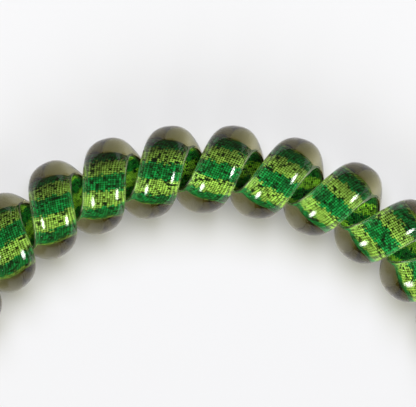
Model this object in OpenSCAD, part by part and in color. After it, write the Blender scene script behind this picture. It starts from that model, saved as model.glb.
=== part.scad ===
// Spiral hair tie: a clear cord of half-round section, with a striped ribbon let into its flat
// inner face, wound as a left-handed coil that closes on itself in a ring. The ring lies flat on
// Z = 0 with its centre on the Z axis.

/* [Ring] */
// Diameter across the ring, over its outermost turns
ring_d = 60; // [50:1:80]
// Diameter of the coil that forms the ring
coil_d = 7.8; // [7.2:0.1:9]

/* [Cord] */
// Width of the cord at its flat inner face
cord_w = 3.8; // [3:0.1:4.2]
// Height of the cord, from its flat inner face to its crest
cord_h = 2.1; // [1.7:0.05:2.4]

/* [Turns] */
// Least gap between neighbouring turns, on the side of the hole
turn_gap = 0.2; // [0.15:0.05:1.5]
// Share by which the turns crowd together at -X and spread out at +X
turn_swing = 0.09; // [0:0.01:0.12]
// Lean of the turns along the ring, in degrees
turn_lean = 3; // [0:0.5:5]

/* [Ribbon] */
// Thickness of the ribbon
ribbon_t = 0.15; // [0.1:0.01:0.25]
// Clear margin between the ribbon's recess and each edge of the cord
edge_margin = 0.15; // [0.12:0.01:0.4]
// Clearance between the ribbon and its recess
clearance = 0.02; // [0.01:0.005:0.05]

/* [Hidden] */

// Flat sides of the coil on each turn, a multiple of 4 so that the crest meets all its limits
coil_sides = 12;
// Flat sides that round the cord's dome
dome_sides = 6;

// The coil's radius, and the radius of the circle that its axis follows
coil_r = coil_d / 2;
ring_r = ring_d / 2 - coil_r;
// Distances from the coil's axis to the cord's flat face and to the middle of its height
face_r = coil_r - cord_h;
middle_r = coil_r - cord_h / 2;
recess_w = cord_w - 2 * edge_margin;
ribbon_w = recess_w - 2 * clearance;

// A slanted cord takes up more of the ring than its own width. least_step is the step from turn
// to turn, measured along the flat face on the side of the hole, that leaves turn_gap between
// two turns. As many turns as that step allows go round the ring.
slant = pow(cord_w / (2 * PI * face_r), 2);
least_step = (turn_gap + sqrt(pow(turn_gap, 2) + (1 - slant) * (pow(cord_w, 2) - pow(turn_gap, 2))))
    / (1 - slant);
turns = floor(2 * PI * (ring_r - face_r) * (1 - turn_swing) / least_step);
degrees = 180 / PI;

// Outlines of cross-sections: [across the cord, away from the coil's axis], anticlockwise
cord_outline = concat(
    [for (i = [0:dome_sides]) let (t = 180 * i / dome_sides)
        [cord_w / 2 * cos(t), face_r + cord_h * sin(t)]],
    [for (corner = [[-1, 0], [-1, 1], [1, 1], [1, 0]])
        [recess_w / 2 * corner[0], face_r + (ribbon_t + clearance) * corner[1]]]
);
ribbon_outline = [for (corner = [[1, 0], [1, 1], [-1, 1], [-1, 0]])
    [ribbon_w / 2 * corner[0], face_r + ribbon_t * corner[1]]];

// One cross-section, placed at the angle "at" round the ring. The outline's upward axis points
// straight away from the coil's axis, and its plane is square to the cord's path.
function section(outline, at) =
    let (
        round = turns * (at - turn_swing * sin(at) * degrees),
        round_rate = turns * (1 - turn_swing * cos(at)),
        lean = tan(turn_lean) * middle_r / ring_r,
        a = at - lean * sin(round) * degrees,
        a_rate = 1 - lean * cos(round) * round_rate,
        away = [cos(a), sin(a), 0],
        along = [-sin(a), cos(a), 0],
        up = [0, 0, 1],
        normal = cos(round) * away + sin(round) * up,
        climb = cos(round) * up - sin(round) * away,
        path = (ring_r + middle_r * cos(round)) * a_rate * along + middle_r * round_rate * climb,
        across = cross(path, normal) / norm(path)
    )
    [for (p = outline) ring_r * away + coil_r * up + p[1] * normal + p[0] * across];

// The closed coil that an outline sweeps. The four-cornered faces between two sections are
// twisted, so each is split in two. Faces that lie against each other, such as the recess and the
// ribbon or the recess and the cord's flanks, are split along the same diagonal and keep apart.
module coil(outline) {
    count = turns * coil_sides;
    n = len(outline);
    points = [for (i = [0:count - 1]) each section(outline, 360 * i / count)];
    faces = [
        for (i = [0:count - 1], j = [0:n - 1])
            let (
                k = (j + 1) % n,
                near = i * n,
                far = (i + 1) % count * n,
                edge = outline[k] - outline[j]
            )
            each edge[0] < edge[1] / 2
                ? [[near + j, far + k, far + j], [near + j, near + k, far + k]]
                : [[near + j, near + k, far + j], [far + j, near + k, far + k]]
    ];
    polyhedron(points, faces, convexity = 10);
}

module clear_cord() {
    color([0.80, 0.80, 0.74, 0.5]) coil(cord_outline);
}

module striped_ribbon() {
    color([0.10, 0.45, 0.18]) coil(ribbon_outline);
}

clear_cord();
striped_ribbon();
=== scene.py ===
"""Dresses the spiral hair tie: a smooth clear cord with a woven striped ribbon sealed in it."""
import math

import bpy
import numpy as np
from mathutils import Matrix, Vector


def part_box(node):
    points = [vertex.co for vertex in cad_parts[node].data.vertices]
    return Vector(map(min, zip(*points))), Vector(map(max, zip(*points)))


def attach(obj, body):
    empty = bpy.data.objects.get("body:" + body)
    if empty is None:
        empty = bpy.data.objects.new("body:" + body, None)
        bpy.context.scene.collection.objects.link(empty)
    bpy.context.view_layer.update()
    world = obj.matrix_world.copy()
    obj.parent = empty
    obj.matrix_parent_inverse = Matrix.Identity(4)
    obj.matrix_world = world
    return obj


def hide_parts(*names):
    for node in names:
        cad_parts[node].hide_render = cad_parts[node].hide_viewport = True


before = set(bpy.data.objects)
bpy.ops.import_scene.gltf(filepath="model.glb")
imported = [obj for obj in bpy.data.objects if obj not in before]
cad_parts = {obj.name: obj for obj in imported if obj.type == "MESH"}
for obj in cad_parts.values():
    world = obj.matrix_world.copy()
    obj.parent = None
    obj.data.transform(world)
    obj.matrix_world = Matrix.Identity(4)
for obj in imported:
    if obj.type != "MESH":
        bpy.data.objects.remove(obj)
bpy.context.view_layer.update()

MM = 0.001

# The coil, with the sizes that the model is built from.
CORD_W, CORD_H = 3.8 * MM, 2.1 * MM
TURNS, TURN_SWING, TURN_LEAN = 32, 0.09, math.radians(3)
RIBBON_W, RIBBON_T = 3.46 * MM, 0.15 * MM
# The film over the ribbon's inner side, the rounding of the cord's two inner edges, and how
# squared its dome is: 1 is a true half round, and less is squarer.
FILM_T, EDGE_R, SQUARING = 0.05 * MM, 0.12 * MM, 0.87

LOW, HIGH = (Vector(corner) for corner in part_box("clear_cord"))
COIL_R = (HIGH.z - LOW.z) / 2
RING_R = (HIGH.x - LOW.x) / 2 - COIL_R
FACE_R = COIL_R - CORD_H
MIDDLE_R = COIL_R - CORD_H / 2

# How finely the pieces are built: sections of the smooth coil on each turn, steps round the
# cord's dome, round each of its inner edges and across its flat face, and steps across the
# ribbon and round each of its edges.
TURN_SECTIONS = 48
DOME_STEPS, EDGE_STEPS, FACE_STEPS = 28, 5, 8
RIBBON_STEPS, RIBBON_EDGE_STEPS = 12, 4

# The ribbon's pattern: pairs of an emerald and a lime stripe round the whole ring, where the
# first emerald stripe is centred, from the outermost point of the first turn, as a share of a
# turn, and how far the stripes slant over the cord's width, as a share of a turn.
STRIPE_PAIRS, STRIPE_START, STRIPE_SLANT = 162, 0.149, 0.018
# How far single threads of the two colours stray over the stripes' edges: 0 gives clean edges.
STRIPE_FRAY = 0.9
# Threads of the ribbon's weave, along one turn and across the ribbon, and how far they waver.
PICKS, ENDS, WAVER = 80, 21, 0.35
# Scales of the noise that the threads waver by, each along and across the ribbon.
PICK_WAVER, END_WAVER = (0.33, 0.33), (0.29, 0.37)
# A gap shows where the weave's relief, which is 1 at the threads' crests, is lower than GAP_TOP
# plus a random share of GAP_TOP_RANGE.
GAP_TOP, GAP_TOP_RANGE = 0.72, 0.3
# The colours of the threads; of their inner side, which shows between the turns in shade: a copy
# with less blue, a painted shade-side colour rather than a colour of its own; and of the gaps.
LIME, EMERALD = (0.181, 0.338, 0.077), (0.002, 0.107, 0.032)
LIME_SHADE_SIDE, EMERALD_SHADE_SIDE = (0.17, 0.44, 0.02), (0.006, 0.097, 0.009)
GAP = (0.0003, 0.006, 0.0015)
# How bright single threads are: the least, and the range above it. Emerald threads start lower
# by EMERALD_DROP, and range wider by EMERALD_SPREAD.
VALUE, VALUE_RANGE, EMERALD_DROP, EMERALD_SPREAD = 0.65, 0.6, 0.2, 0.7
# Painted shade darkens both edges of the ribbon; it is no real selvedge. Its colour, where it
# starts, from the ribbon's middle, as a share of its width, how steeply it sets in, and how much of
# the weave it hides.
EDGE_SHADE_COLOUR, EDGE_SHADE_FROM, EDGE_SHADE_STEEP, EDGE_SHADE_MOST = (0.012, 0.035, 0.006), 0.43, 25, 0.85
# The relief of the weave.
BUMP_STRENGTH, BUMP_DEPTH = 0.4, 0.03 * MM

# Settings of the three materials' shaders, by the names of their sockets.
CLEAR_LOOK = {
    "Base Color": (0.97, 0.97, 0.95, 1),
    "Transmission Weight": 1,
    "IOR": 1.41,
    "Sheen Weight": 0.03,
    "Sheen Roughness": 0.5,
    "Sheen Tint": (1.0, 0.87, 0.62, 1),
}
RIBBON_LOOK = {"Roughness": 0.7, "Specular IOR Level": 0.06}
FLOOR_LOOK = {"Base Color": (0.843, 0.845, 0.857, 1), "Roughness": 0.9}
# The clear plastic's smoky tint, its strength in the depth, and the tint of the lamps' light
# that it lets through.
SMOKE, SMOKE_DENSITY, LET_THROUGH = (0.52, 0.49, 0.02, 1), 400, (0.9, 0.92, 1.0, 1)
# The clear plastic's roughness, how much faint ripples add to it, and their scale and detail.
CLEAR_ROUGH, RIPPLE, RIPPLE_SCALE, RIPPLE_DETAIL = 0.012, 0.03, 900, 3

# What the photograph shows: the ring's centre and mean radius in its pixels, how far its turns
# are from the model's, in degrees round the ring, and the frame's width and height.
PHOTO_CENTRE_X, PHOTO_CENTRE_Y, PHOTO_RING_R = 203.6, 468.1, 299.4
PHOTO_TURNED = math.radians(0.68)
PHOTO_W, PHOTO_H = 416, 407
# The middle of the turns that the photograph shows, and the camera's height above it.
NEAR_TURNS = Vector((0, RING_R, COIL_R))
CAMERA_AWAY = 0.45

# Lamps that are seen as highlights: name, azimuth, elevation and power in watts. They share a
# distance and a size.
GLINTS = [("glint_left", -146, 27, 12), ("glint_right", -21, 21, 13)]
GLINT_AWAY, GLINT_SIZE = 0.6, (0.3, 0.33)
# How far from such a lamp's middle its light starts to fade, and where it has gone, as shares
# of the lamp's side.
FADE_FROM, FADE_TO = 0.05, 0.5
# Lamps that light the tie: name, azimuth, elevation, distance, size and power.
FILLS = [
    ("fill_left", -146, 27, 0.6, (0.2, 0.2), 11),
    ("fill_near", 10, 40, 0.05, (0.03, 0.03), 0.055),
    ("fill_south", -90, 40, 1.2, (0.8, 0.6), 64),
    ("fill_west", 180, 30, 1.2, (0.8, 0.6), 20),
]
# Lamps that light the floor: the first throws the shadows, and the second softens them.
FLOOR_LAMPS = [
    ("shadow_light", 90, 66, 0.6, (0.4, 0.4), 3.8),
    ("floor_south", -90, 35, 1.2, (0.8, 0.6), 5.5),
]
# The light from all round, and how bright the room is where it is seen past or through the tie.
WORLD, WORLD_SEEN, WORLD_COLOUR = 0.09, 0.75, (1, 0.98, 0.95, 1)
# Half the length of the floor's sides.
FLOOR_HALF = 3.0


def coil_frames(count):
    """For each section of the coil: its centre, the unit vectors away from the coil's axis and
    across the cord, and how many turns it is from the first."""
    at = np.linspace(0, 2 * math.pi, count, endpoint=False)
    turn = TURNS * (at - TURN_SWING * np.sin(at))
    turn_rate = TURNS * (1 - TURN_SWING * np.cos(at))
    lean = math.tan(TURN_LEAN) * MIDDLE_R / RING_R
    a = at - lean * np.sin(turn)
    a_rate = 1 - lean * np.cos(turn) * turn_rate
    zero = np.zeros(count)
    away = np.stack([np.cos(a), np.sin(a), zero], 1)
    along = np.stack([-np.sin(a), np.cos(a), zero], 1)
    up = np.array([[0.0, 0.0, 1.0]])
    cos, sin = np.cos(turn)[:, None], np.sin(turn)[:, None]
    normal = cos * away + sin * up
    climb = cos * up - sin * away
    path = (RING_R + MIDDLE_R * cos) * a_rate[:, None] * along
    path = path + MIDDLE_R * turn_rate[:, None] * climb
    across = np.cross(path, normal) / np.linalg.norm(path, axis=1)[:, None]
    return RING_R * away + COIL_R * up, normal, across, turn / (2 * math.pi)


def coil_mesh(name, outline):
    """A closed coil swept from an outline of (across, away from the coil's axis) points. Its
    UV map gives the turn and the place across the cord, and its attribute inner_side marks the
    flat faces nearest to the coil's axis."""
    count, sides = TURNS * TURN_SECTIONS, len(outline)
    centre, normal, across, turn = coil_frames(count)
    shape = np.array(outline)
    points = centre[:, None] + normal[:, None] * shape[None, :, 1:]
    points = points + across[:, None] * shape[None, :, :1]
    i, j = np.meshgrid(np.arange(count), np.arange(sides), indexing="ij")
    far, near = (i + 1) % count, (j + 1) % sides
    faces = [i * sides + j, far * sides + j, far * sides + near, i * sides + near]
    mesh = bpy.data.meshes.new(name)
    mesh.from_pydata(points.reshape(-1, 3).tolist(), [], np.stack(faces, -1).reshape(-1, 4).tolist())
    mesh.polygons.foreach_set("use_smooth", [True] * len(mesh.polygons))

    turns = np.append(turn, TURNS)
    strand = np.stack([
        np.stack([turns[i + step], shape[(j + side) % sides, 0] / CORD_W + 0.5], -1)
        for step, side in ((0, 0), (1, 0), (1, 1), (0, 1))
    ], 2)
    flat = np.isclose(shape[:, 1], shape[:, 1].min())
    inner = np.tile((flat & np.roll(flat, -1)).astype(np.float32), count)
    mesh.attributes.new("inner_side", "FLOAT", "FACE").data.foreach_set("value", inner)
    mesh.uv_layers.new(name="strand").uv.foreach_set("vector", strand.astype(np.float32).ravel())
    mesh.validate()
    piece = bpy.data.objects.new(name, mesh)
    bpy.context.scene.collection.objects.link(piece)
    return piece


def arc(centre, radius, first, last, steps):
    """Points on a circle from one angle to another, in degrees."""
    angles = [math.radians(first + (last - first) * k / steps) for k in range(steps + 1)]
    return [(centre[0] + radius * math.cos(t), centre[1] + radius * math.sin(t)) for t in angles]


def cord_outline():
    """A slightly squared half round on short sides, with rounded edges at the flat inner face."""
    half = CORD_W / 2
    face = FACE_R - FILM_T
    dome = [
        (half * math.copysign(abs(x) ** SQUARING, x), COIL_R - half + half * abs(y) ** SQUARING)
        for x, y in arc((0, 0), 1, 0, 180, DOME_STEPS)
    ]
    left = arc((EDGE_R - half, face + EDGE_R), EDGE_R, 180, 270, EDGE_STEPS)
    right = arc((half - EDGE_R, face + EDGE_R), EDGE_R, 270, 360, EDGE_STEPS)
    inner = [(x, face) for x in np.linspace(EDGE_R - half, half - EDGE_R, FACE_STEPS)[1:-1]]
    return dome + left + inner + right


def ribbon_outline():
    """A thin strip with rounded edges."""
    half, edge = RIBBON_W / 2, RIBBON_T / 2
    middle = FACE_R + edge
    across = np.linspace(half - edge, edge - half, RIBBON_STEPS)
    right = arc((half - edge, middle), edge, -90, 90, RIBBON_EDGE_STEPS)
    left = arc((edge - half, middle), edge, 90, 270, RIBBON_EDGE_STEPS)
    outer = [(x, middle + edge) for x in across[1:-1]]
    inner = [(x, middle - edge) for x in across[-2:0:-1]]
    return right + outer + left + inner


def new_material(name, look):
    """A material with its shader's settings, its node tree and its shader."""
    material = bpy.data.materials.new(name)
    material.use_nodes = True
    shader = material.node_tree.nodes["Principled BSDF"]
    for socket, value in look.items():
        shader.inputs[socket].default_value = value
    return material, material.node_tree, shader


class Sum:
    """Builds math nodes from plain expressions."""

    def __init__(self, tree, socket):
        self.tree, self.socket = tree, socket

    def op(self, kind, *others):
        node = self.tree.nodes.new("ShaderNodeMath")
        node.operation = kind
        self.tree.links.new(self.socket, node.inputs[0])
        for place, other in enumerate(others, 1):
            if isinstance(other, Sum):
                self.tree.links.new(other.socket, node.inputs[place])
            else:
                node.inputs[place].default_value = other
        return Sum(self.tree, node.outputs[0])

    def __add__(self, other):
        return self.op("ADD", other)

    def __sub__(self, other):
        return self.op("SUBTRACT", other)

    def __mul__(self, other):
        return self.op("MULTIPLY", other)


def noise(tree, vector, scale, detail):
    node = tree.nodes.new("ShaderNodeTexNoise")
    node.inputs["Scale"].default_value = scale
    node.inputs["Detail"].default_value = detail
    tree.links.new(vector, node.inputs["Vector"])
    return Sum(tree, node.outputs["Fac"])


def joined(tree, first, second):
    """A vector of two values."""
    node = tree.nodes.new("ShaderNodeCombineXYZ")
    tree.links.new(first.socket, node.inputs[0])
    tree.links.new(second.socket, node.inputs[1])
    return node.outputs[0]


def wavering(tree, pick, end, scales):
    """A slow drift to both sides, in threads, that changes from place to place in the weave."""
    place = joined(tree, pick * scales[0], end * scales[1])
    return (noise(tree, place, 1, 2) - 0.5) * WAVER


def random(tree, vector):
    """Two random values for each whole place."""
    node = tree.nodes.new("ShaderNodeTexWhiteNoise")
    node.noise_dimensions = "2D"
    tree.links.new(vector, node.inputs["Vector"])
    parts = tree.nodes.new("ShaderNodeSeparateColor")
    tree.links.new(node.outputs["Color"], parts.inputs[0])
    return Sum(tree, parts.outputs[0]), Sum(tree, parts.outputs[1])


def mix(tree, factor, one, two):
    """A mix of two colours, each an RGB tuple or a socket."""
    node = tree.nodes.new("ShaderNodeMix")
    node.data_type = "RGBA"
    tree.links.new(factor.socket, node.inputs["Factor"])
    for name, colour in (("A", one), ("B", two)):
        socket = [s for s in node.inputs if s.name == name and s.type == "RGBA"][0]
        if isinstance(colour, tuple):
            socket.default_value = (*colour, 1)
        else:
            tree.links.new(colour, socket)
    return [s for s in node.outputs if s.type == "RGBA"][0]


def clear_material():
    """Soft clear plastic, faintly smoky, that lets lamps through to the ribbon inside."""
    material, tree, shader = new_material("clear_plastic", CLEAR_LOOK)
    output = tree.nodes["Material Output"]
    coords = tree.nodes.new("ShaderNodeTexCoord").outputs["Object"]
    ripple = noise(tree, coords, RIPPLE_SCALE, RIPPLE_DETAIL)
    tree.links.new((ripple * RIPPLE + CLEAR_ROUGH).socket, shader.inputs["Roughness"])
    absorb = tree.nodes.new("ShaderNodeVolumeAbsorption")
    absorb.inputs["Color"].default_value = SMOKE
    absorb.inputs["Density"].default_value = SMOKE_DENSITY
    tree.links.new(absorb.outputs[0], output.inputs["Volume"])
    through = tree.nodes.new("ShaderNodeBsdfTransparent")
    through.inputs["Color"].default_value = LET_THROUGH
    light_path = tree.nodes.new("ShaderNodeLightPath")
    blend = tree.nodes.new("ShaderNodeMixShader")
    tree.links.new(light_path.outputs["Is Shadow Ray"], blend.inputs["Fac"])
    tree.links.new(shader.outputs[0], blend.inputs[1])
    tree.links.new(through.outputs[0], blend.inputs[2])
    tree.links.new(blend.outputs[0], output.inputs["Surface"])
    return material


def ribbon_material():
    """A fine plain weave, striped across in emerald and lime, with dark gaps between threads."""
    material, tree, shader = new_material("striped_weave", RIBBON_LOOK)
    strand = tree.nodes.new("ShaderNodeUVMap")
    strand.uv_map = "strand"
    parts = tree.nodes.new("ShaderNodeSeparateXYZ")
    tree.links.new(strand.outputs[0], parts.inputs[0])
    turn, side = Sum(tree, parts.outputs[0]), Sum(tree, parts.outputs[1])

    # The place in the weave, in threads, and two random values for each crossing.
    pick, end = turn * PICKS, side * (ENDS * CORD_W / RIBBON_W)
    pick = pick + wavering(tree, pick, end, PICK_WAVER)
    end = end + wavering(tree, pick, end, END_WAVER)
    chance, other = random(tree, joined(tree, pick.op("FLOOR"), end.op("FLOOR")))

    # Threads swell towards their middles, and the dark gaps between them vary in width.
    over = (pick * math.pi).op("SINE").op("ABSOLUTE")
    down = (end * math.pi).op("SINE").op("ABSOLUTE")
    height = over.op("MAXIMUM", down)
    thread = height.op("GREATER_THAN", other * GAP_TOP_RANGE + GAP_TOP)

    along = turn - (side - 0.5) * STRIPE_SLANT - STRIPE_START
    wave = (along * (2 * math.pi * STRIPE_PAIRS / TURNS)).op("COSINE")
    emerald = (wave + (chance - 0.5) * STRIPE_FRAY).op("GREATER_THAN", 0.0)

    inside = tree.nodes.new("ShaderNodeAttribute")
    inside.attribute_name = "inner_side"
    # The inner side takes the painted shade-side copy of the thread colours.
    outer = mix(tree, emerald, LIME, EMERALD)
    inner = mix(tree, emerald, LIME_SHADE_SIDE, EMERALD_SHADE_SIDE)
    threads = mix(tree, Sum(tree, inside.outputs["Fac"]), outer, inner)
    colour = mix(tree, thread, GAP, threads)
    # Painted shade: both edges of the ribbon are darkened as if they lay in shade.
    from_middle = (side - 0.5).op("ABSOLUTE") * (CORD_W / RIBBON_W)
    edge_shade = (from_middle - EDGE_SHADE_FROM) * EDGE_SHADE_STEEP
    edge_shade = edge_shade.op("MAXIMUM", 0.0).op("MINIMUM", EDGE_SHADE_MOST)
    colour = mix(tree, edge_shade, colour, EDGE_SHADE_COLOUR)

    bright = chance * (emerald * EMERALD_SPREAD + VALUE_RANGE) - emerald * EMERALD_DROP + VALUE
    shade = tree.nodes.new("ShaderNodeHueSaturation")
    tree.links.new(bright.socket, shade.inputs["Value"])
    tree.links.new(colour, shade.inputs["Color"])
    tree.links.new(shade.outputs[0], shader.inputs["Base Color"])
    bump = tree.nodes.new("ShaderNodeBump")
    bump.inputs["Strength"].default_value = BUMP_STRENGTH
    bump.inputs["Distance"].default_value = BUMP_DEPTH
    tree.links.new(height.socket, bump.inputs["Height"])
    tree.links.new(bump.outputs[0], shader.inputs["Normal"])
    return material


def add_cord():
    cord = coil_mesh("clear_cord_smooth", cord_outline())
    cord.data.materials.append(clear_material())
    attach(cord, "root")
    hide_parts("clear_cord")
    return cord


def add_ribbon():
    ribbon = coil_mesh("striped_ribbon_woven", ribbon_outline())
    ribbon.data.materials.append(ribbon_material())
    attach(ribbon, "root")
    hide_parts("striped_ribbon")
    return ribbon


def add_floor():
    corners = [(x * FLOOR_HALF, y * FLOOR_HALF, 0) for x, y in ((-1, -1), (1, -1), (1, 1), (-1, 1))]
    mesh = bpy.data.meshes.new("floor")
    mesh.from_pydata(corners, [], [(0, 1, 2, 3)])
    floor = bpy.data.objects.new("floor", mesh)
    bpy.context.scene.collection.objects.link(floor)
    mesh.materials.append(new_material("pale_floor", FLOOR_LOOK)[0])
    return floor


def from_sky(azimuth, elevation, distance):
    """The point that lies in a direction, in degrees, from the near turns of the ring."""
    a, e = math.radians(azimuth), math.radians(elevation)
    towards = Vector((math.cos(a) * math.cos(e), math.sin(a) * math.cos(e), math.sin(e)))
    return NEAR_TURNS + distance * towards


def add_camera():
    """Straight above the near turns, as the photograph is taken."""
    pixel = RING_R / PHOTO_RING_R
    lens = bpy.data.cameras.new("camera")
    lens.sensor_width = 36
    lens.lens = lens.sensor_width * CAMERA_AWAY / (PHOTO_W * pixel)
    lens.clip_start, lens.clip_end = 0.01, 20
    camera = bpy.data.objects.new("camera", lens)
    bpy.context.scene.collection.objects.link(camera)
    spot = Vector((PHOTO_W / 2 - PHOTO_CENTRE_X, PHOTO_CENTRE_Y - PHOTO_H / 2, 0)) * pixel
    spot.z = COIL_R + CAMERA_AWAY
    turned = Matrix.Rotation(-PHOTO_TURNED, 4, "Z")
    camera.matrix_world = turned @ Matrix.Translation(spot)
    bpy.context.scene.camera = camera


def add_softbox(name, azimuth, elevation, distance, size, power):
    """A rectangular lamp that points at the near turns, and isn't seen by the camera or through
    the cord."""
    light = bpy.data.lights.new(name, "AREA")
    light.shape = "RECTANGLE"
    light.size, light.size_y = size
    light.energy = power
    lamp = bpy.data.objects.new(name, light)
    bpy.context.scene.collection.objects.link(lamp)
    lamp.location = from_sky(azimuth, elevation, distance)
    lamp.rotation_euler = (NEAR_TURNS - lamp.location).to_track_quat("-Z", "Y").to_euler()
    lamp.visible_camera = False
    lamp.visible_transmission = False
    return lamp


def feather(light):
    """Fades a lamp towards its edges, so that its reflections have soft edges."""
    light.use_nodes = True
    tree = light.node_tree
    place = tree.nodes.new("ShaderNodeNewGeometry").outputs["Parametric"]
    centre = tree.nodes.new("ShaderNodeVectorMath")
    centre.operation = "DISTANCE"
    centre.inputs[1].default_value = (0.5, 0.5, 0)
    tree.links.new(place, centre.inputs[0])
    fade = tree.nodes.new("ShaderNodeMapRange")
    fade.interpolation_type = "SMOOTHSTEP"
    for key, value in (("From Min", FADE_TO), ("From Max", FADE_FROM), ("To Min", 0), ("To Max", 1)):
        fade.inputs[key].default_value = value
    tree.links.new(centre.outputs["Value"], fade.inputs["Value"])
    tree.links.new(fade.outputs["Result"], tree.nodes["Emission"].inputs["Strength"])


def no_bounce(pieces):
    """Keeps pieces from tinting the floor, which stays neutral in the photograph."""
    for piece in pieces:
        piece.visible_diffuse = False


def lights_only(lamp, pieces):
    """Keeps a lamp's light to some pieces."""
    lit = bpy.data.collections.new(lamp.name + "_lights")
    for piece in pieces:
        lit.objects.link(piece)
    lamp.light_linking.receiver_collection = lit


def add_lights(tie, floor):
    for name, azimuth, elevation, power in GLINTS:
        lamp = add_softbox(name, azimuth, elevation, GLINT_AWAY, GLINT_SIZE, power)
        feather(lamp.data)
        lamp.visible_diffuse = False
        lights_only(lamp, tie)
    for lamps, lit in ((FILLS, tie), (FLOOR_LAMPS, floor)):
        for name, azimuth, elevation, distance, size, power in lamps:
            lamp = add_softbox(name, azimuth, elevation, distance, size, power)
            lamp.visible_glossy = False
            lights_only(lamp, lit)


def add_world():
    """Faint light from all round, which looks brighter where it is seen past the tie."""
    world = bpy.data.worlds.new("studio")
    bpy.context.scene.world = world
    world.use_nodes = True
    tree = world.node_tree
    back = tree.nodes["Background"]
    back.inputs["Color"].default_value = WORLD_COLOUR
    path = tree.nodes.new("ShaderNodeLightPath")
    seen = Sum(tree, path.outputs["Is Camera Ray"])
    seen = seen.op("MAXIMUM", Sum(tree, path.outputs["Is Transmission Ray"]))
    tree.links.new((seen * (WORLD_SEEN - WORLD) + WORLD).socket, back.inputs["Strength"])


add_camera()
floor = add_floor()
ribbon = add_ribbon()
cord = add_cord()
no_bounce([ribbon, cord])
add_lights([ribbon, cord], [floor])
add_world()
bpy.context.scene.view_settings.view_transform = "Standard"
